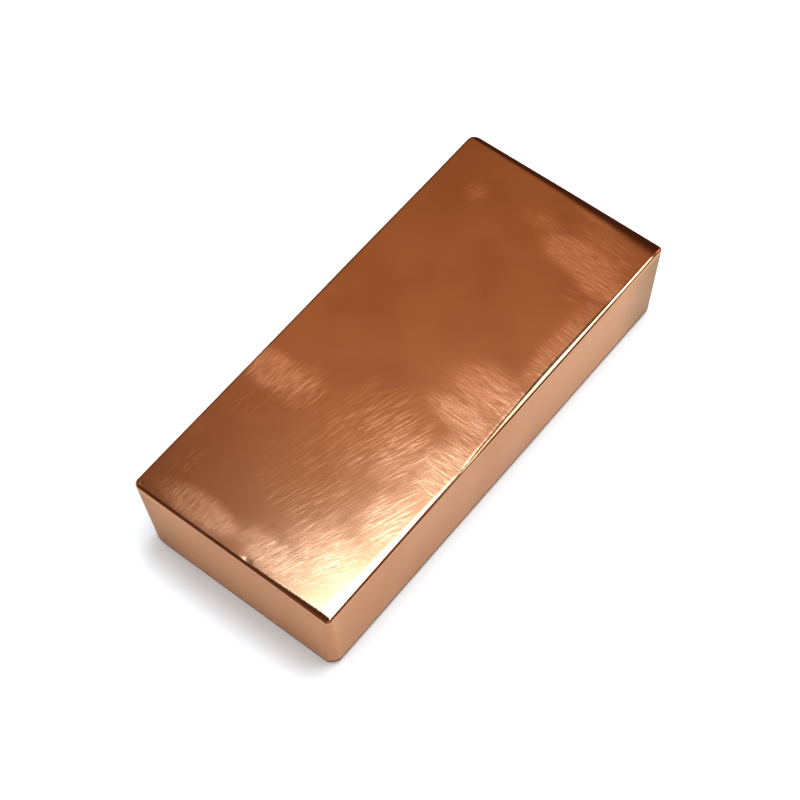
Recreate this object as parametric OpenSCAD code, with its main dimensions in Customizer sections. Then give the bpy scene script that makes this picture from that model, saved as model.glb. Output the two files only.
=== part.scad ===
// One-kilogram copper ingot: a single cast bar with drafted sides, tight top edges,
// and upright corners that open from a small radius at the top to a wide one at the base.
// Millimetres. The bar lies on z = 0, centred on x and y, with its length along y.

/* [Bar] */
// Length of the bar, over the top edges
top_length = 107.8; // [60:0.1:250]
// Width of the bar, over the top edges
top_width = 49.2; // [30:0.1:120]
// Height from the base to the top face
height = 21.4; // [12:0.1:60]
// Slope of every side from upright, in degrees, with the top face the larger one
side_draft = 1; // [0:0.1:5]

/* [Rounding] */
// Radius along the top edges
top_edge_r = 0.6; // [0.3:0.1:3]
// Radius along the base edges
base_edge_r = 1.8; // [0.3:0.1:4]
// Radius of the upright corners at the top, seen from above
top_corner_r = 0.9; // [0.5:0.1:8]
// Radius of the upright corners at the base, seen from above
base_corner_r = 3.5; // [1:0.1:10]

/* [Smoothness] */
// Facets in a full turn of each rounding
rounding_facets = 48; // [16:4:64]

/* [Hidden] */
$fn = rounding_facets;

// The sides lean in by this much between the top edges and the base
draft_inset = height * tan(side_draft);
base_length = top_length - 2 * draft_inset;
base_width = top_width - 2 * draft_inset;

// An edge is never rounder than the corner that it runs into
top_round_r = min(top_edge_r, top_corner_r);
base_round_r = min(base_edge_r, base_corner_r);

// Ring of round section, which one corner of a face is wrapped around
module corner_ring(corner_r, round_r) {
    rotate_extrude()
        intersection() {
            translate([corner_r - round_r, 0])
                circle(round_r);
            translate([0, -round_r])
                square([corner_r, 2 * round_r]);
        }
}

// The four corner rings of the top or the base, with their centres at height z
module face_rings(length, width, z, corner_r, round_r) {
    for (x_side = [-1, 1], y_side = [-1, 1])
        translate([x_side * (width / 2 - corner_r), y_side * (length / 2 - corner_r), z])
            corner_ring(corner_r, round_r);
}

// The bar is the tight skin around the rings of its two faces: flat top and base,
// leaning sides, conical corners and rounded edges all come out of the one wrap
module ingot() {
    color([0.72, 0.43, 0.27])
        hull() {
            face_rings(top_length, top_width, height - top_round_r, top_corner_r, top_round_r);
            face_rings(base_length, base_width, base_round_r, base_corner_r, base_round_r);
        }
}

ingot();
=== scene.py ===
import math

import bpy
import numpy as np
from mathutils import Matrix, Vector


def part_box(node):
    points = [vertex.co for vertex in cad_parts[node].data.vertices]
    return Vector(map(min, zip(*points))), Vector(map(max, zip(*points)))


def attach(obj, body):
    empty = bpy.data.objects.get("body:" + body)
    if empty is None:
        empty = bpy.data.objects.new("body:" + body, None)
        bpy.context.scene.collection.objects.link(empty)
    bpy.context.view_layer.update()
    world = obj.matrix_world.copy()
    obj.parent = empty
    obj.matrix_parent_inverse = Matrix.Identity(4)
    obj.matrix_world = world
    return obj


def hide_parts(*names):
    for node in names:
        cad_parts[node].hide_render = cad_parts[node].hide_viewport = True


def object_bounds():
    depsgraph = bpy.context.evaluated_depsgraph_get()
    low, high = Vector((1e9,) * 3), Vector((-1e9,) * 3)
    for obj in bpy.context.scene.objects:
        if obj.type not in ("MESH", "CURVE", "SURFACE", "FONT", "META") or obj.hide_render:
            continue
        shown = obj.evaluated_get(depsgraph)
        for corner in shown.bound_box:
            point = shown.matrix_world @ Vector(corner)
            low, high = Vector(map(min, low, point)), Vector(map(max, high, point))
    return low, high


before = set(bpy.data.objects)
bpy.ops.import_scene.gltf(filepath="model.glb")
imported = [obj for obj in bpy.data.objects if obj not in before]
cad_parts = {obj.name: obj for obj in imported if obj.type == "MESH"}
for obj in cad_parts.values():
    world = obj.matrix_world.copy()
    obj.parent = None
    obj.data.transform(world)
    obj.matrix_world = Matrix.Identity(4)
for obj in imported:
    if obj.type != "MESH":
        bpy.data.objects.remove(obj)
cadLow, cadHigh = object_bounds()
mm = 0.001
print("frame loaded:", [round(v / mm, 2) for v in cadHigh - cadLow], "mm")


# the bar's own shape, in mm: the rounding of the solid, and the wear and hand work on its skin
bar = {
    "name": "copper_bar",
    "node": "ingot",
    "slot": "copper",
    "topEdgeRadius": 0.6,
    "baseEdgeRadius": 1.8,
    "sideDraft": 1.0,           # degrees
    # each upright corner: side of the bar, radius at the top and at the base, and how flat it is cut
    "corners": [
        {"toward": (-1, 1), "top": 2.2, "base": 3.5, "flat": 0.0},
        {"toward": (1, 1), "top": 1.0, "base": 3.5, "flat": 0.0},
        {"toward": (1, -1), "top": 0.7, "base": 1.9, "flat": 0.70},
        {"toward": (-1, -1), "top": 1.5, "base": 4.2, "flat": 0.0},
    ],
    "gridStep": 0.5,
    "cornerSteps": 6,           # from a straight side to the middle of a corner
    "edgeSteps": 9,             # round the top and the base edges
    # top edges that the polishing rolled over: axis and side, then width and fall at even steps
    # along the edge
    "rollOffs": [
        {"axis": 1, "side": 1, "width": (1.0, 1.6, 3.6), "fall": (0.15, 0.22, 0.42)},
        {"axis": 1, "side": -1, "width": (0.3, 0.3, 0.3, 0.5, 0.8), "fall": (0.0, 0.0, 0.005, 0.04, 0.15)},
        {"axis": 0, "side": 1, "width": (2.2, 1.5, 0.8, 0.5, 0.7, 1.1, 0.9, 0.5, 0.2),
         "fall": (0.05, 0.045, 0.03, 0.0, 0.12, 0.22, 0.14, 0.04, 0.0)},
    ],
    "rollSteps": 7,             # extra rows of points inside the top edges
    "rollGap": 0.25,            # and the gap between them
    "rollLimit": 1.5,           # widths of a roll-off over which it goes on falling
    "waves": 7,                 # long shallow waves left by hand polishing
    "waveLength": (26, 60),
    "waveDepth": 0.016,
    "waveRise": 0.9,            # how fast they change with height
    "waveRim": 1.2,             # depth of skin that they move
    "waveSeed": 11,
    # small dents on the top edges: place, reach each way and depth
    "dents": [
        {"at": (4.0, -52.9, 21.4), "reach": (1.6, 0.70, 0.8), "depth": 0.045},
        {"at": (-23.1, -52.8, 21.4), "reach": (0.5, 0.5, 0.5), "depth": 0.035},
    ],
    "dentWay": (0, 0.7, -0.7),  # in and down
}


def barSize():
    low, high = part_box(bar["node"])
    return (high.x - low.x) / mm, (high.y - low.y) / mm, (high.z - low.z) / mm


def barLevels(height):
    # rows from the base to the top: height, how far up the side (0 to 1) and the inset of the rounded edge
    steps = bar["edgeSteps"]
    baseR, topR = bar["baseEdgeRadius"], bar["topEdgeRadius"]
    rows = []
    for step in range(steps):
        turn = math.pi / 2 * (1 - step / steps)
        rows.append((baseR * (1 - math.sin(turn)), 0.0, baseR * (1 - math.cos(turn))))
    sideSteps = round((height - topR - baseR) / bar["gridStep"])
    for step in range(sideSteps):
        rows.append((baseR + (height - topR - baseR) * step / sideSteps, step / sideSteps, 0.0))
    for step in range(steps + 1):
        turn = math.pi / 2 * step / steps
        rows.append((height - topR + topR * math.sin(turn), 1.0, topR * (1 - math.cos(turn))))
    return np.array(rows)


def barStations(size):
    # along one side: how far into a corner (1 at its middle, 0 on the straight) and where on the straight
    corner = bar["cornerSteps"]
    close = 1 - 2 * np.arange(bar["rollSteps"]) * bar["rollGap"] / size
    straight = np.linspace(-close[-1], close[-1], round(size * close[-1] / bar["gridStep"]))[1:-1]
    straight = np.concatenate([-close, straight, close[::-1]])
    into = np.concatenate([np.linspace(1, 0, corner + 1)[:-1], np.zeros(len(straight)),
                           np.linspace(0, 1, corner + 1)[1:]])
    along = np.concatenate([-np.ones(corner), straight, np.ones(corner)])
    return into, along


def latticeSkin(counts):
    # vertices and quads of the skin of a block of cells
    inside = np.zeros([c + 1 for c in counts], bool)
    inside[1:-1, 1:-1, 1:-1] = True
    number = np.full(inside.shape, -1)
    number[~inside] = np.arange((~inside).sum())
    quads = []

    def side(grid, flip):
        quad = np.stack([grid[:-1, :-1], grid[1:, :-1], grid[1:, 1:], grid[:-1, 1:]], -1).reshape(-1, 4)
        quads.append(quad[:, ::-1] if flip else quad)

    side(number[:, :, -1], False)
    side(number[:, :, 0], True)
    side(number[-1], False)
    side(number[0], True)
    side(number[:, 0], False)
    side(number[:, -1], True)
    return np.argwhere(~inside), np.concatenate(quads)


def barPoints(cells, levels, stationsX, stationsY, width, length, height):
    # each lattice place on the rounded, leaning body
    z, up, inset = levels[cells[:, 2]].T
    intoX, alongX = (s[cells[:, 0]] for s in stationsX)
    intoY, alongY = (s[cells[:, 1]] for s in stationsY)
    cornerR, flat = np.zeros(len(cells)), np.zeros(len(cells))
    for corner in bar["corners"]:
        share = (1 + corner["toward"][0] * alongX) * (1 + corner["toward"][1] * alongY) / 4
        cornerR += share * (corner["base"] + up * (corner["top"] - corner["base"]))
        flat += share * corner["flat"]
    out = np.maximum(intoX, intoY)
    turn = np.pi / 4 * np.minimum(intoX, intoY) / np.maximum(out, 1e-9)
    large, small = out * np.cos(turn), out * np.sin(turn)
    cutLarge = out / (1 + np.tan(turn))
    large, small = large + flat * (cutLarge - large), small + flat * (out - cutLarge - small)
    overX = np.where(intoX >= intoY, large, small)
    overY = np.where(intoX >= intoY, small, large)
    lean = (1 - up) * height * math.tan(math.radians(bar["sideDraft"]))
    x = alongX * (width / 2 - lean - cornerR) + np.sign(alongX) * overX * (cornerR - inset)
    y = alongY * (length / 2 - lean - cornerR) + np.sign(alongY) * overY * (cornerR - inset)
    return np.stack([x, y, z], 1)


def rollEdges(points, size):
    # the top falls away in a soft curve towards each rolled edge
    upper = np.clip((points[:, 2] - size[2] / 2) / (size[2] / 2), 0, 1)
    for roll in bar["rollOffs"]:
        axis = roll["axis"]
        where = np.clip(points[:, 1 - axis] / size[1 - axis] + 0.5, 0, 1)
        steps = np.linspace(0, 1, len(roll["width"]))
        reach, fall = np.interp(where, steps, roll["width"]), np.interp(where, steps, roll["fall"])
        fromEdge = size[axis] / 2 - bar["topEdgeRadius"] - roll["side"] * points[:, axis]
        near = np.clip(1 - fromEdge / reach, 0, bar["rollLimit"])
        points[:, 2] -= upper * fall * near ** 2


def waveSkin(points, width, length, height):
    # long shallow waves, all cut inwards: down on the top, in on the sides
    draw = np.random.default_rng(bar["waveSeed"])
    depth = np.zeros(len(points))
    for _ in range(bar["waves"]):
        turn = draw.uniform(0, 2 * math.pi, 2)
        waveLength = draw.uniform(*bar["waveLength"])
        way = np.array([math.cos(turn[0]), math.sin(turn[0]), bar["waveRise"]])
        depth += bar["waveDepth"] * (1 + np.sin(points @ way * 2 * math.pi / waveLength + turn[1])) / 2
    toEdge = np.array([width / 2, length / 2]) - np.abs(points[:, :2])
    for axis in (0, 1):
        onSide = np.clip(1 - toEdge[:, axis] / bar["waveRim"], 0, 1)
        points[:, axis] -= np.sign(points[:, axis]) * depth * onSide
    points[:, 2] -= depth * np.clip(1 - (height - points[:, 2]) / bar["waveRim"], 0, 1)


def dentEdges(points):
    for dent in bar["dents"]:
        away = np.linalg.norm((points - np.array(dent["at"])) / dent["reach"], axis=1)
        push = dent["depth"] * np.clip(1 - away ** 2, 0, 1) ** 2
        points += push[:, None] * np.array(bar["dentWay"])


def makeBar():
    width, length, height = size = barSize()
    levels = barLevels(height)
    stationsX, stationsY = barStations(width), barStations(length)
    counts = (len(stationsX[0]) - 1, len(stationsY[0]) - 1, len(levels) - 1)
    cells, quads = latticeSkin(counts)
    points = barPoints(cells, levels, stationsX, stationsY, width, length, height)
    rows = cells[quads][:, :, 2]
    waveSkin(points, width, length, height)
    rollEdges(points, size)
    dentEdges(points)
    mesh = bpy.data.meshes.new(bar["name"])
    mesh.from_pydata((points * mm).tolist(), [], quads.tolist())
    mesh.shade_smooth()
    mesh.validate()
    # faces: 0 the top and its edges, 1 the sides and the base edges, 2 the underside
    finish = np.where(rows.min(1) >= counts[2] - bar["edgeSteps"], 0, np.where(rows.max(1) == 0, 2, 1))
    mesh.polygons.foreach_set("material_index", finish.astype(np.int32))
    piece = bpy.data.objects.new(bar["name"], mesh)
    bpy.context.scene.collection.objects.link(piece)
    print("bar skin:", len(points), "points,", 2 * len(quads), "triangles")
    return piece


barPiece = makeBar()
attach(barPiece, "root")
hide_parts(bar["node"])


# small helpers for shader nodes
def feed(tree, socket, value):
    if isinstance(value, bpy.types.NodeSocket):
        tree.links.new(value, socket)
    else:
        socket.default_value = value


def addNode(tree, kind, inputs=None, **settings):
    node = tree.nodes.new(kind)
    for key, value in settings.items():
        setattr(node, key, value)
    for key, value in (inputs or {}).items():
        feed(tree, node.inputs[key], value)
    return node


def calc(tree, operation, *values):
    node = addNode(tree, "ShaderNodeMath", dict(enumerate(values)), operation=operation)
    return node.outputs[0]


def vectorCalc(tree, operation, *values, out="Vector"):
    node = addNode(tree, "ShaderNodeVectorMath", dict(enumerate(values)), operation=operation)
    return node.outputs[out]


def fade(tree, value, start, stop, low=0.0, high=1.0):
    ends = {"Value": value, "From Min": start, "From Max": stop, "To Min": low, "To Max": high}
    return addNode(tree, "ShaderNodeMapRange", ends, interpolation_type="SMOOTHSTEP").outputs["Result"]


def blend(tree, share, first, second, kind="FLOAT"):
    node = addNode(tree, "ShaderNodeMix", data_type=kind)
    for key, value in (("Factor", share), ("A", first), ("B", second)):
        socket = next(i for i in node.inputs if i.name == key and i.enabled)
        feed(tree, socket, value)
    return next(o for o in node.outputs if o.enabled)


def newGroup(name, inputs, outputs):
    tree = bpy.data.node_groups.new(name, "ShaderNodeTree")
    for key, value in inputs.items():
        kind = "NodeSocketVector" if isinstance(value, tuple) else "NodeSocketFloat"
        tree.interface.new_socket(key, in_out="INPUT", socket_type=kind).default_value = value
    for key in outputs:
        tree.interface.new_socket(key, in_out="OUTPUT", socket_type="NodeSocketFloat")
    return tree, tree.nodes.new("NodeGroupInput").outputs, tree.nodes.new("NodeGroupOutput").inputs


def placeGroup(tree, group, **inputs):
    node = addNode(tree, "ShaderNodeGroup", node_tree=group)
    for key, value in inputs.items():
        feed(tree, node.inputs[key], value)
    return node.outputs


def noiseAt(tree, place, scale, detail):
    return addNode(tree, "ShaderNodeTexNoise", {"Vector": place, "Scale": scale, "Detail": detail}).outputs


def turnPlace(tree, place, angle):
    node = addNode(tree, "ShaderNodeVectorRotate", {"Vector": place, "Angle": angle}, rotation_type="Z_AXIS")
    return node.outputs[0]


def setRelief(tree, shader, relief):
    bump = addNode(tree, "ShaderNodeBump", {"Height": relief, "Strength": 1.0, "Distance": 1.0})
    feed(tree, shader.inputs["Normal"], bump.outputs[0])


# one stroke: its start, length and thin ends as shares of its cell, its place and width as shares of its lane
# the second number of a pair is what chance adds
strokeShape = {
    "start": 0.4,               # all chance
    "length": (0.22, 0.35),
    "thinStart": 0.1,
    "thinEnd": 0.12,
    "middle": (0.3, 0.4),
    "width": (0.24, 0.18),
    "force": (0.4, 0.6),
    "laneShift": 17.0,          # cells by which chance slides a lane
    "streaks": 3.5,             # soft streaks in the length of a cell
}
patchRim = (0.2, 1.3)           # shares of an oval's reach where it starts to fade and is gone


def strokeGroup():
    # hairline scratches in lanes, and soft streaks between them; X runs along the strokes, in mm
    tree, given, result = newGroup("rub_strokes", {
        "Place": (0.0, 0.0, 0.0), "Lane": 0.4, "Length": 9.0, "Share": 0.5, "Pitch": 0.3, "Seed": 0.0,
    }, ["Line", "Streak"])
    split = addNode(tree, "ShaderNodeSeparateXYZ", {0: given["Place"]}).outputs
    along = calc(tree, "DIVIDE", split["X"], given["Length"])
    lanes = calc(tree, "DIVIDE", split["Y"], given["Lane"])
    lane = calc(tree, "FLOOR", lanes)
    laneSeed = addNode(tree, "ShaderNodeCombineXYZ", {"X": lane, "Y": given["Seed"], "Z": 3.7}).outputs[0]
    laneShift = addNode(tree, "ShaderNodeTexWhiteNoise", {"Vector": laneSeed}).outputs["Value"]
    cells = calc(tree, "MULTIPLY_ADD", laneShift, strokeShape["laneShift"], along)
    cellSeed = addNode(tree, "ShaderNodeCombineXYZ", {
        "X": lane, "Y": calc(tree, "FLOOR", cells), "Z": given["Seed"]}).outputs[0]
    draw = addNode(tree, "ShaderNodeTexWhiteNoise", {"Vector": cellSeed})
    drawn = addNode(tree, "ShaderNodeSeparateColor", {0: draw.outputs["Color"]}).outputs
    # a stroke starts and stops inside its cell, thin at both ends
    spot = calc(tree, "FRACT", cells)
    start = calc(tree, "MULTIPLY", drawn[0], strokeShape["start"])
    shortest, longer = strokeShape["length"]
    stop = calc(tree, "MULTIPLY_ADD", drawn[1], longer, calc(tree, "ADD", start, shortest))
    grows = fade(tree, spot, start, calc(tree, "ADD", start, strokeShape["thinStart"]))
    ends = fade(tree, spot, calc(tree, "SUBTRACT", stop, strokeShape["thinEnd"]), stop, 1.0, 0.0)
    least, more = strokeShape["middle"]
    middle = calc(tree, "MULTIPLY_ADD", drawn[2], more, least)
    off = calc(tree, "ABSOLUTE", calc(tree, "SUBTRACT", calc(tree, "FRACT", lanes), middle))
    thin, wider = strokeShape["width"]
    profile = fade(tree, off, 0.0, calc(tree, "MULTIPLY_ADD", drawn[1], wider, thin), 1.0, 0.0)
    faint, harder = strokeShape["force"]
    force = calc(tree, "MULTIPLY_ADD", drawn[0], harder, faint)
    there = calc(tree, "LESS_THAN", draw.outputs["Value"], given["Share"])
    reach = calc(tree, "MULTIPLY", grows, ends)
    line = calc(tree, "MULTIPLY", reach, calc(tree, "MULTIPLY", profile, there))
    feed(tree, result["Line"], calc(tree, "MULTIPLY", line, force))
    streakPlace = addNode(tree, "ShaderNodeCombineXYZ", {
        "X": calc(tree, "MULTIPLY", along, strokeShape["streaks"]),
        "Y": calc(tree, "DIVIDE", split["Y"], given["Pitch"]), "Z": given["Seed"]}).outputs[0]
    feed(tree, result["Streak"], noiseAt(tree, streakPlace, 1.0, 2.0)["Fac"])
    return tree


def patchGroup():
    # one rubbed oval laid over those before it, with a wide fading rim:
    # how much it is scratched and how much it is brushed
    tree, given, result = newGroup("rub_patch", {
        "Place": (0.0, 0.0, 0.0), "Centre": (0.0, 0.0, 0.0), "Reach": (10.0, 10.0, 1.0), "Scratch": 1.0,
        "Brush": 1.0, "Scratch below": 0.0, "Brush below": 0.0}, ["Scratch", "Brush"])
    away = vectorCalc(tree, "SUBTRACT", given["Place"], given["Centre"])
    away = vectorCalc(tree, "DIVIDE", away, given["Reach"])
    mask = fade(tree, vectorCalc(tree, "LENGTH", away, out="Value"), *patchRim, 1.0, 0.0)
    for key in ("Scratch", "Brush"):
        laid = calc(tree, "MULTIPLY", mask, given[key])
        feed(tree, result[key], calc(tree, "MAXIMUM", laid, given[key + " below"]))
    return tree


def cloudGroup():
    # soft uneven patches of polish and tarnish
    tree, given, result = newGroup("tarnish_cloud", {
        "Place": (0.0, 0.0, 0.0), "Size": 10.0, "Low": 0.4, "High": 0.6}, ["Mask"])
    shrunk = addNode(tree, "ShaderNodeVectorMath", {
        0: given["Place"], "Scale": calc(tree, "DIVIDE", 1.0, given["Size"])}, operation="SCALE").outputs[0]
    noise = noiseAt(tree, shrunk, 1.0, 3.0)["Fac"]
    feed(tree, result["Mask"], fade(tree, noise, given["Low"], given["High"]))
    return tree


strokes, patch, cloud = strokeGroup(), patchGroup(), cloudGroup()


def millimetrePlace(tree):
    coord = addNode(tree, "ShaderNodeTexCoord").outputs["Object"]
    return addNode(tree, "ShaderNodeVectorMath", {0: coord, "Scale": 1 / mm}, operation="SCALE").outputs[0]


def newMetal(name):
    material = bpy.data.materials.new(name)
    material.use_nodes = True
    shader = material.node_tree.nodes["Principled BSDF"]
    shader.inputs["Metallic"].default_value = 1.0
    return material, material.node_tree, shader


# the top face, rubbed by hand in two ways: across the bar, and in long sweeps that fan out from one point
# each has its patches on the face, in mm, with how hard they are scratched and brushed
topFinish = {
    "tone": (0.60, 0.345, 0.20, 1),
    "dark": (0.52, 0.27, 0.143, 1),
    "fresh": (0.97, 0.62, 0.40, 1),
    "polish": 0.13,                 # roughness of the clear polish
    "brushed": 0.02,                # and what brushing, clouds and hairlines add to it
    "clouded": 0.01,
    "scratched": 0.06,
    "freshAndSheen": 0.60,                  # how much fresh metal a brushed patch shows, raised further as painted sheen
    "streaked": 2.6,                # and its swing from streak to streak
    "lineDepth": 0.0006,
    "ridgeHeight": 0.002,
    "clouds": {"Size": 16.0, "Low": 0.35, "High": 0.7},
    # hairlines: width of a lane and length of a cell in mm, and the share of cells with a stroke in them
    "short": {"Lane": 0.30, "Length": 10, "Share": 0.7},
    "long": {"Lane": 0.25, "Length": 24, "Share": 0.5},
    "crossing": 0.07,               # radians between the long ones and the short ones
    "acrossPitch": 0.26,            # width of the soft streaks, in each way of rubbing
    "sweepPitch": 0.34,
    "scratchRim": (0.08, 0.7),      # where a patch starts to show its scratches, and shows them in full
    "brushRim": (0.05, 0.9),        # the same for its brushing
    "curl": 1.4,                    # how far strokes wander sideways
    "wander": 0.05,                 # and how quickly
    "ragged": 0.5,                  # how far the streaks break up a patch
    "faceHeight": (20.9, 21.25),    # no strokes below the top edges
    "fan": {"centre": (-22, -130), "middle": 115, "from": 85, "bow": -0.0015},
    "across": [
        {"at": (11, 51), "reach": (9, 1.6), "scratch": 0.4, "brush": 0.4},
        {"at": (16, 45), "reach": (12, 8), "scratch": 0.5, "brush": 0.4},
        {"at": (13, 41), "reach": (11, 5), "scratch": 0.5, "brush": 1.2},
        {"at": (20, 38), "reach": (8, 4), "scratch": 0.5, "brush": 1.1},
        {"at": (2, 44), "reach": (7, 3.5), "scratch": 0.2, "brush": 0.45},
        {"at": (19, 32), "reach": (6, 3), "scratch": 0.6, "brush": 0.1},
        {"at": (22.5, 22), "reach": (4.5, 18), "scratch": 0.6, "brush": 0.6},
        {"at": (18, 4), "reach": (12, 8), "scratch": 0.6, "brush": 0.7},
        {"at": (17, -3), "reach": (11, 5), "scratch": 0.6, "brush": 0.7},
        {"at": (21, -14), "reach": (6, 14), "scratch": 0.5, "brush": 0.6},
        {"at": (20, -36), "reach": (5, 16), "scratch": 0.3, "brush": 0.2},
    ],
    "sweeps": [
        {"at": (8, -26), "reach": (26, 28), "scratch": 0.45, "brush": 0.15},
        {"at": (-20, -17.5), "reach": (8, 5), "scratch": 0.7, "brush": 1.2},
        {"at": (-13, -17), "reach": (7, 7), "scratch": 0.7, "brush": 0.5},
        {"at": (-18, -26), "reach": (6, 6), "scratch": 0.5, "brush": 0.1},
        {"at": (6, -16), "reach": (14, 14), "scratch": 0.75, "brush": 0.3},
        {"at": (13, -18), "reach": (9, 10), "scratch": 0.8, "brush": 0.5},
        {"at": (19, -29), "reach": (7, 10), "scratch": 0.7, "brush": 0.5},
        {"at": (4, -37), "reach": (15, 6), "scratch": 0.6, "brush": 0.1},
        {"at": (14, -43), "reach": (11, 9), "scratch": 0.5, "brush": 0.5},
        {"at": (-10, -50), "reach": (12, 4), "scratch": 0.7, "brush": 0.9},
        {"at": (7, -49), "reach": (12, 5), "scratch": 0.6, "brush": 0.6},
        {"at": (-14.5, 41.5), "reach": (3.5, 3.5), "scratch": 0.3, "brush": 0.4},
        {"at": (-9, 3), "reach": (5, 5), "scratch": 0.3, "brush": 0.0},
        {"at": (-19.5, -43), "reach": (3.5, 6), "scratch": 0.5, "brush": 0.1},
    ],
}


def fanPlace(tree, place):
    # along and across strokes that open out from one point and bow a little
    fan = topFinish["fan"]
    away = vectorCalc(tree, "SUBTRACT", place, (*fan["centre"], 0))
    split = addNode(tree, "ShaderNodeSeparateXYZ", {0: away}).outputs
    far = vectorCalc(tree, "LENGTH", vectorCalc(tree, "MULTIPLY", away, (1, 1, 0)), out="Value")
    past = calc(tree, "POWER", calc(tree, "SUBTRACT", far, fan["from"]), 2.0)
    bow = calc(tree, "MULTIPLY", past, fan["bow"])
    across = calc(tree, "MULTIPLY_ADD", calc(tree, "ARCTAN2", split["X"], split["Y"]), fan["middle"], bow)
    return addNode(tree, "ShaderNodeCombineXYZ", {"X": far, "Y": across}).outputs[0]


def layStrokes(tree, face, strokePlace, patches, pitch, seed, rough):
    # one way of rubbing: fresh metal with painted sheen in its brushed patches, hairlines, ridges, and the
    # roughness with its brushing added
    scratch, brush = 0.0, 0.0
    for spot in patches:
        laid = placeGroup(tree, patch, Place=face, Centre=(*spot["at"], 0), Reach=(*spot["reach"], 1),
                          Scratch=spot["scratch"], Brush=spot["brush"],
                          **{"Scratch below": scratch, "Brush below": brush})
        scratch, brush = laid["Scratch"], laid["Brush"]
    short = placeGroup(tree, strokes, Place=strokePlace, Pitch=pitch, Seed=seed, **topFinish["short"])
    crossing = turnPlace(tree, strokePlace, topFinish["crossing"])
    long = placeGroup(tree, strokes, Place=crossing, Seed=seed + 4, **topFinish["long"])
    swing = calc(tree, "SUBTRACT", short["Streak"], 0.5)
    scratch = calc(tree, "MULTIPLY_ADD", swing, topFinish["ragged"], scratch)
    scratch = fade(tree, scratch, *topFinish["scratchRim"])
    brush = calc(tree, "MULTIPLY_ADD", swing, topFinish["ragged"] / 2, brush)
    brush = fade(tree, brush, *topFinish["brushRim"])
    lines = calc(tree, "MULTIPLY", calc(tree, "MAXIMUM", short["Line"], long["Line"]), scratch)
    ridges = calc(tree, "MULTIPLY", swing, brush)
    # fresh metal in the brushed patches, lighter still as painted sheen
    freshAndSheen = calc(tree, "MULTIPLY_ADD", swing, topFinish["streaked"], topFinish["freshAndSheen"])
    fresh = calc(tree, "MULTIPLY", brush, freshAndSheen)
    fresh = calc(tree, "MAXIMUM", calc(tree, "ADD", fresh, lines), 0.0)
    return fresh, lines, ridges, calc(tree, "MULTIPLY_ADD", brush, topFinish["brushed"], rough)


def makeTopCopper():
    material, tree, shader = newMetal("rubbed_copper")
    place = millimetrePlace(tree)
    face = vectorCalc(tree, "MULTIPLY", place, (1.0, 1.0, 0.0))
    wander = noiseAt(tree, face, topFinish["wander"], 1.0)["Color"]
    curl = topFinish["curl"]
    bent = vectorCalc(tree, "MULTIPLY_ADD", wander, (curl, curl, 0.0), face)
    dull = placeGroup(tree, cloud, Place=face, **topFinish["clouds"])["Mask"]
    rough = calc(tree, "MULTIPLY_ADD", dull, topFinish["clouded"], topFinish["polish"])
    acrossFresh, acrossLines, acrossRidges, rough = layStrokes(
        tree, face, bent, topFinish["across"], topFinish["acrossPitch"], 1.0, rough)
    sweepFresh, sweepLines, sweepRidges, rough = layStrokes(
        tree, face, fanPlace(tree, bent), topFinish["sweeps"], topFinish["sweepPitch"], 2.0, rough)
    height = addNode(tree, "ShaderNodeSeparateXYZ", {0: place}).outputs["Z"]
    onFace = fade(tree, height, *topFinish["faceHeight"])
    lines = calc(tree, "MULTIPLY", calc(tree, "MAXIMUM", acrossLines, sweepLines), onFace)
    ridges = calc(tree, "ADD", acrossRidges, sweepRidges)
    relief = calc(tree, "MULTIPLY", ridges, topFinish["ridgeHeight"] * mm)
    setRelief(tree, shader, calc(tree, "MULTIPLY_ADD", lines, -topFinish["lineDepth"] * mm, relief))
    tone = blend(tree, dull, topFinish["tone"], topFinish["dark"], "RGBA")
    fresh = calc(tree, "MULTIPLY", calc(tree, "MAXIMUM", acrossFresh, sweepFresh), onFace)
    feed(tree, shader.inputs["Base Color"], blend(tree, fresh, tone, topFinish["fresh"], "RGBA"))
    feed(tree, shader.inputs["Roughness"], calc(tree, "MULTIPLY_ADD", lines, topFinish["scratched"], rough))
    return material


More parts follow.
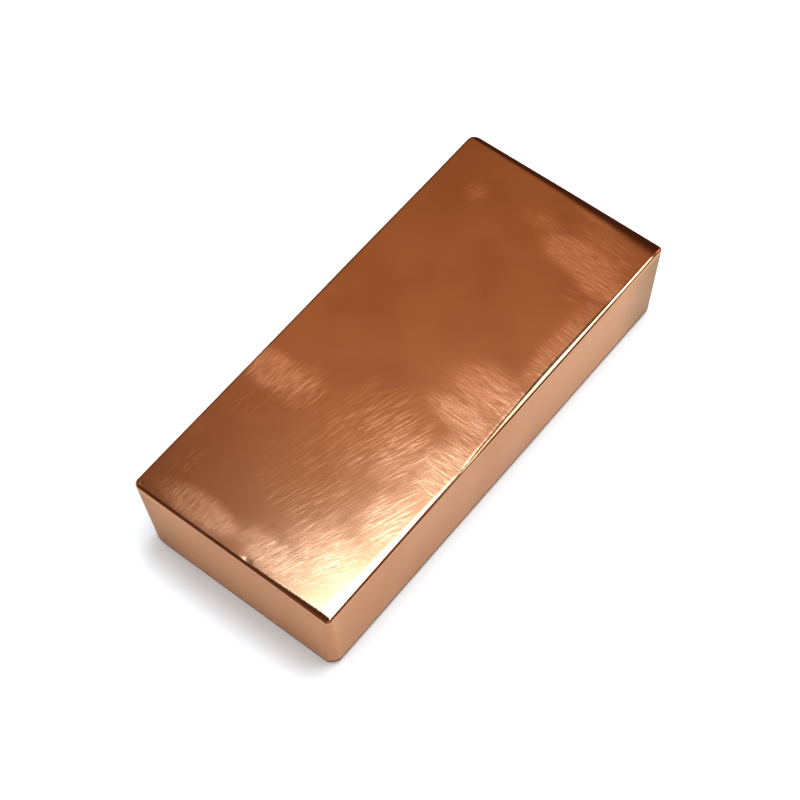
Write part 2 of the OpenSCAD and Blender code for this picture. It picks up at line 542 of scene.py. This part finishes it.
# the sides: satin from the mould, with a painted sheen under the top edges, and a painted reflection that is
# paler and then greyer towards the far end
# the facet on the near right corner is painted browner as shade: where it points, and how far out it starts
# and is full
sideFinish = {
    "tone": (0.68, 0.405, 0.262, 1),
    "mottled": (0.73, 0.455, 0.315, 1),
    # painted light on the near end, which lies in shade
    "front": (0.77, 0.455, 0.30, 1),
    # painted reflection: paler on the far half, greyer at the far right end
    "pale": (0.78, 0.50, 0.35, 1),
    "grey": (0.44, 0.33, 0.25, 1),
    # painted shade on the left part of the near end
    "left": (0.53, 0.345, 0.245, 1),
    # painted sheen under the top edges
    "edge": (0.76, 0.44, 0.30, 1),
    # painted contact shade along the foot
    "contactShade": (0.12, 0.078, 0.052, 1),
    "edgeTint": (0.80, 0.55, 0.40, 1),
    "roughness": 0.33,
    "edgeRoughness": 0.26,
    "mottledRough": 0.04,           # roughness that mottling adds
    "clouds": {"Size": 14.0, "Low": 0.35, "High": 0.7},
    "frontEnd": (-50.5, -53.2),     # along the length, where the painted light on the near end starts and is full
    "leftEnd": (-11, -24),          # and across it, where painted shade greys that end again
    "paleEnd": (-5, 28),            # the same for the painted paler reflection on the far half
    "greyEnd": (38, 52),            # and for the painted greyer reflection at the far end
    "greySide": (19, 23.5),         # which is on the right side only
    "sheenBand": (18.8, 20.8),        # heights of the band with painted sheen
    "foot": (2.4, 1.8),             # and of the line of painted contact shade, from above
    "under": (0.5, 1.1),            # and from below
    "contactShadeRough": 0.8,
    "contactShadeDull": 0.9,               # how far the painted shade hides the metal
    "facet": {"toward": (0.707, -0.707, -0.068), "band": (53.0, 53.7), "tone": (0.63, 0.33, 0.205, 1)},
    "strokes": {"Lane": 0.45, "Length": 16, "Share": 0.14, "Pitch": 1.2, "Seed": 9},
    "downhill": 0.12,               # radians
    "hairlines": 0.4,               # how far a hairline turns to fresh metal
    "fresh": (0.88, 0.60, 0.45, 1),
    "grain": 3.0,                   # cast grains to a mm
    "grainDepth": 0.002,
}


def makeSideCopper():
    material, tree, shader = newMetal("satin_copper")
    place = millimetrePlace(tree)
    split = addNode(tree, "ShaderNodeSeparateXYZ", {0: place}).outputs
    # the band under the top edges: painted sheen in its colour, and a smoother finish
    sheenBand = fade(tree, split["Z"], *sideFinish["sheenBand"])
    mottle = placeGroup(tree, cloud, Place=place, **sideFinish["clouds"])["Mask"]
    tone = blend(tree, mottle, sideFinish["tone"], sideFinish["mottled"], "RGBA")
    # painted light on the near end, and painted shade on its left part
    front = fade(tree, split["Y"], *sideFinish["frontEnd"])
    frontLeft = calc(tree, "MULTIPLY", front, fade(tree, split["X"], *sideFinish["leftEnd"]))
    tone = blend(tree, front, tone, sideFinish["front"], "RGBA")
    tone = blend(tree, frontLeft, tone, sideFinish["left"], "RGBA")
    # painted reflection: paler towards the far end, then greyer at its right side
    tone = blend(tree, fade(tree, split["Y"], *sideFinish["paleEnd"]), tone, sideFinish["pale"], "RGBA")
    farRight = calc(tree, "MULTIPLY", fade(tree, split["Y"], *sideFinish["greyEnd"]),
                    fade(tree, split["X"], *sideFinish["greySide"]))
    tone = blend(tree, farRight, tone, sideFinish["grey"], "RGBA")
    # painted sheen: the band under the top edges is lighter
    tone = blend(tree, sheenBand, tone, sideFinish["edge"], "RGBA")
    # hairlines run along the sides, a little downhill
    run = addNode(tree, "ShaderNodeCombineXYZ", {
        "X": calc(tree, "ADD", split["X"], split["Y"]), "Y": split["Z"]}).outputs[0]
    run = turnPlace(tree, run, sideFinish["downhill"])
    lines = placeGroup(tree, strokes, Place=run, **sideFinish["strokes"])
    worn = calc(tree, "MULTIPLY", calc(tree, "MULTIPLY", lines["Line"], mottle), sideFinish["hairlines"])
    tone = blend(tree, worn, tone, sideFinish["fresh"], "RGBA")
    # painted shade: the facet on the near right corner is browner
    facet = sideFinish["facet"]
    out = vectorCalc(tree, "DOT_PRODUCT", place, facet["toward"], out="Value")
    tone = blend(tree, fade(tree, out, *facet["band"]), tone, facet["tone"], "RGBA")
    # painted contact shade: a dark, dull line along the foot
    shadeLine = fade(tree, split["Z"], *sideFinish["foot"])
    shadeLine = calc(tree, "MULTIPLY", shadeLine, fade(tree, split["Z"], *sideFinish["under"]))
    tone = blend(tree, shadeLine, tone, sideFinish["contactShade"], "RGBA")
    feed(tree, shader.inputs["Base Color"], tone)
    rough = blend(tree, sheenBand, sideFinish["roughness"], sideFinish["edgeRoughness"])
    rough = calc(tree, "MULTIPLY_ADD", mottle, sideFinish["mottledRough"], rough)
    feed(tree, shader.inputs["Roughness"], blend(tree, shadeLine, rough, sideFinish["contactShadeRough"]))
    feed(tree, shader.inputs["Metallic"], calc(tree, "MULTIPLY_ADD", shadeLine, -sideFinish["contactShadeDull"], 1.0))
    grain = noiseAt(tree, place, sideFinish["grain"], 2.0)["Fac"]
    setRelief(tree, shader, calc(tree, "MULTIPLY", grain, sideFinish["grainDepth"] * mm))
    shader.inputs["Specular Tint"].default_value = sideFinish["edgeTint"]
    return material


# the underside, dull and pitted from the mould, rubbed as bright as the sides at its rim
baseFinish = {
    "tone": (0.47, 0.255, 0.155, 1),
    "dark": (0.31, 0.165, 0.105, 1),
    "roughness": 0.46,
    "dulled": 0.16,
    "stains": {"Size": 9.0, "Low": 0.35, "High": 0.65},
    "rimX": (20.6, 22.4),           # mm from the middle where the rim starts and is full
    "rimY": (49.6, 51.7),
    "pits": {"Size": 0.9, "Low": 0.55, "High": 0.72},
    "pitDepth": 0.05,
}


def makeBaseCopper():
    material, tree, shader = newMetal("cast_copper")
    place = millimetrePlace(tree)
    split = addNode(tree, "ShaderNodeSeparateXYZ", {0: vectorCalc(tree, "ABSOLUTE", place)}).outputs
    stain = placeGroup(tree, cloud, Place=place, **baseFinish["stains"])["Mask"]
    rimX, rimY = (fade(tree, split[axis], *baseFinish["rim" + axis]) for axis in "XY")
    rim = calc(tree, "MAXIMUM", rimX, rimY)
    tone = blend(tree, stain, baseFinish["tone"], baseFinish["dark"], "RGBA")
    feed(tree, shader.inputs["Base Color"], blend(tree, rim, tone, sideFinish["tone"], "RGBA"))
    rough = calc(tree, "MULTIPLY_ADD", stain, baseFinish["dulled"], baseFinish["roughness"])
    feed(tree, shader.inputs["Roughness"], rough)
    pits = placeGroup(tree, cloud, Place=place, **baseFinish["pits"])["Mask"]
    setRelief(tree, shader, calc(tree, "MULTIPLY", pits, -baseFinish["pitDepth"] * mm))
    return material


for metal in (makeTopCopper(), makeSideCopper(), makeBaseCopper()):
    barPiece.data.materials.append(metal)
print("copper mixed")


# pale floor; in the bar's reflections it shows a painted pool of light that dims away from the bar, as a
# table does under a lamp
floorSet = {"name": "floor", "half": 6.0, "color": (0.86, 0.86, 0.86, 1), "near": (0.64, 0.64, 0.645, 1),
            "dim": (0.045, 0.02, 0.012, 1), "pool": (70, 190), "roughness": 0.9}


def makeFloor():
    half = floorSet["half"]
    mesh = bpy.data.meshes.new(floorSet["name"])
    corners = [(-half, -half, 0), (half, -half, 0), (half, half, 0), (-half, half, 0)]
    mesh.from_pydata(corners, [], [(0, 1, 2, 3)])
    floor = bpy.data.objects.new(floorSet["name"], mesh)
    bpy.context.scene.collection.objects.link(floor)
    material = bpy.data.materials.new("pale_floor")
    material.use_nodes = True
    tree = material.node_tree
    shader = tree.nodes["Principled BSDF"]
    far = vectorCalc(tree, "LENGTH", millimetrePlace(tree), out="Value")
    mirrored = addNode(tree, "ShaderNodeLightPath").outputs["Is Glossy Ray"]
    # painted pool of light, seen only in reflections
    mirror = blend(tree, fade(tree, far, *floorSet["pool"]), floorSet["near"], floorSet["dim"], "RGBA")
    feed(tree, shader.inputs["Base Color"], blend(tree, mirrored, floorSet["color"], mirror, "RGBA"))
    shader.inputs["Roughness"].default_value = floorSet["roughness"]
    shader.inputs["Specular IOR Level"].default_value = 0.0
    mesh.materials.append(material)


makeFloor()


# studio: a dim warm room that only reflections see, even pale light on the floor, and three soft boxes
studio = {
    "pale": (0.98, 0.98, 0.98),
    "roomLow": (0.078, 0.024, 0.012),
    "roomHigh": (0.60, 0.278, 0.123),
    # where the room starts to grow lighter and where it is lightest, on the sphere of directions
    "up": (0.64, 0.87),
    "away": (0.21, 0.40),           # from the front of the room to the back
    "left": (-0.08, -0.27),         # and from its right to its left
    # lighter walls all round: where each starts and is full on two axes, and how light it is
    "walls": [
        {"X": (-0.20, 0.15), "Y": (0.20, -0.10), "level": 1.0},
        {"X": (-0.50, -0.75), "Y": (0.20, -0.10), "level": 1.0},
        {"X": (-0.16, 0.10), "Y": (0.56, 0.72), "level": 1.0},
        {"X": (-0.52, -0.75), "Y": (0.54, 0.76), "level": 1.0},
        {"X": (0.50, 0.75), "Y": (-2, -1), "level": 0.45},
        {"X": (-0.60, -0.80), "Y": (-2, -1), "level": 0.45},
        {"X": (-2, -1), "Y": (-0.48, -0.68), "level": 0.28},
    ],
    "boxes": {                      # mm; glow is the light that the face sends out
        "overhead": {"centre": (6.6, 91.6, 621), "faces": (0, 0, -1), "along": (0.878, -0.479, 0),
                     "size": (400, 154), "glow": 13.0, "color": (0.96, 1.09, 1.20)},
        "behind": {"centre": (350, 350, 504), "faces": (-0.4, -0.5, -0.77), "along": (0.89, 0, -0.456),
                   "size": (463, 130), "glow": 5.5, "color": (1, 1, 1)},
        "corner": {"centre": (258, 500, 340), "faces": (-0.39, -0.75, -0.53), "along": (0.89, -0.46, 0),
                   "size": (150, 110), "glow": 2.5, "color": (1, 1, 1)},
    },
}


def makeRoom():
    world = bpy.data.worlds.new("studio")
    bpy.context.scene.world = world
    world.use_nodes = True
    tree = world.node_tree
    tree.nodes.clear()
    way = addNode(tree, "ShaderNodeTexCoord").outputs["Generated"]
    split = addNode(tree, "ShaderNodeSeparateXYZ", {0: way}).outputs
    climb = fade(tree, split["Z"], *studio["up"])
    climb = calc(tree, "MULTIPLY", climb, fade(tree, split["Y"], *studio["away"]))
    climb = calc(tree, "MULTIPLY", climb, fade(tree, split["X"], *studio["left"]))
    for wall in studio["walls"]:
        lit = calc(tree, "MULTIPLY", fade(tree, split["X"], *wall["X"]), fade(tree, split["Y"], *wall["Y"]))
        climb = calc(tree, "MAXIMUM", climb, calc(tree, "MULTIPLY", lit, wall["level"]))
    room = blend(tree, climb, (*studio["roomLow"], 1), (*studio["roomHigh"], 1), "RGBA")
    mirrored = addNode(tree, "ShaderNodeLightPath").outputs["Is Glossy Ray"]
    seen = blend(tree, mirrored, (*studio["pale"], 1), room, "RGBA")
    back = addNode(tree, "ShaderNodeBackground", {"Color": seen}).outputs[0]
    addNode(tree, "ShaderNodeOutputWorld", {"Surface": back})


def makeBox(name, box):
    lamp = bpy.data.lights.new(name, "AREA")
    lamp.shape = "RECTANGLE"
    lamp.size, lamp.size_y = (v * mm for v in box["size"])
    lamp.energy = box["glow"] * math.pi * lamp.size * lamp.size_y
    lamp.color = box["color"]
    away = -Vector(box["faces"]).normalized()
    across = away.cross(Vector(box["along"])).normalized()
    turn = Matrix((across.cross(away), across, away)).transposed().to_4x4()
    holder = bpy.data.objects.new(name, lamp)
    holder.matrix_world = Matrix.Translation(Vector(box["centre"]) * mm) @ turn
    bpy.context.scene.collection.objects.link(holder)


makeRoom()
for boxName, box in studio["boxes"].items():
    makeBox(boxName, box)
bpy.context.scene.view_settings.view_transform = "Standard"
bpy.context.scene.view_settings.look = "None"
print("studio lit")


# the photograph's view: angles in degrees, distance and slide in mm from the middle of the top face
view = {"azimuth": 41.754, "elevation": 58.383, "roll": -3.698, "distance": 426.7,
        "slide": (-1.140, -7.720), "focalPixels": 2151.2, "picturePixels": 800, "sensor": 36.0,
        "clip": (0.01, 50)}             # metres


def makeCamera():
    a, e, r = (math.radians(view[k]) for k in ("azimuth", "elevation", "roll"))
    back = Vector((math.sin(a) * math.cos(e), -math.cos(a) * math.cos(e), math.sin(e)))
    level = Vector((math.cos(a), math.sin(a), 0))
    rise = back.cross(level)
    right = math.cos(r) * level + math.sin(r) * rise
    up = -math.sin(r) * level + math.cos(r) * rise
    camera = bpy.data.cameras.new("camera")
    camera.sensor_width = view["sensor"]
    camera.lens = view["focalPixels"] * view["sensor"] / view["picturePixels"]
    camera.clip_start, camera.clip_end = view["clip"]
    holder = bpy.data.objects.new("camera", camera)
    bpy.context.scene.collection.objects.link(holder)
    middle = Vector((0, 0, cadHigh.z))
    place = middle + (back * view["distance"] + right * view["slide"][0] + up * view["slide"][1]) * mm
    turn = Matrix((right, up, back)).transposed().to_4x4()
    holder.matrix_world = Matrix.Translation(place) @ turn
    bpy.context.scene.camera = holder


makeCamera()
